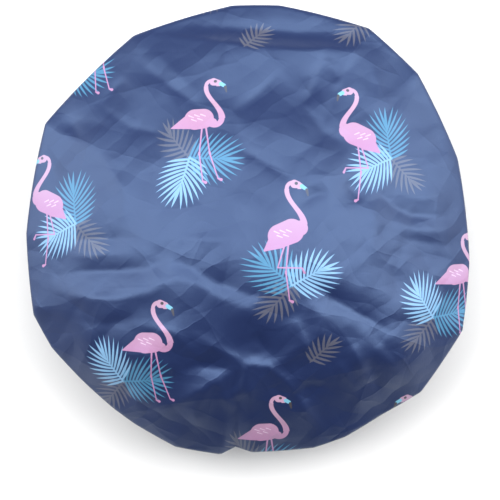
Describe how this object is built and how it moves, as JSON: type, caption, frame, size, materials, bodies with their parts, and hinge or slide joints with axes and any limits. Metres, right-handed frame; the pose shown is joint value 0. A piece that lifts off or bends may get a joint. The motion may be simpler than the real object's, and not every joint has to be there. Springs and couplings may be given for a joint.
{
  "type": "shower cap",
  "caption": "Puffed, printed shower cap with a waterproof lining, gathered on an elastic in a stitched hem, standing on its head opening.",
  "frame": {"origin": "centre of the head opening, on the plane that the hem rests on", "axes": "+Z from the head opening to the crown, +Y towards the side of the cap that is uppermost when it is worn, +X to the right seen from behind the wearer"},
  "size_m": [0.3718, 0.3725, 0.1417],
  "materials": {
    "printed_cloth": "navy polyester satin with a flamingo and palm print",
    "lining_film": "milky, soft waterproof film",
    "casing_cloth": "plain navy polyester tape",
    "elastic_yarn": "white woven elastic",
    "sewing_thread": "navy polyester thread"
  },
  "bodies": {
    "root": {"outer_shell": "printed_cloth", "inner_lining": "lining_film", "hem_casing": "casing_cloth", "elastic_band": "elastic_yarn", "elastic_join_thread": "sewing_thread", "hem_needle_thread": "sewing_thread", "hem_bobbin_thread": "sewing_thread"}
  },
  "joints": []
}
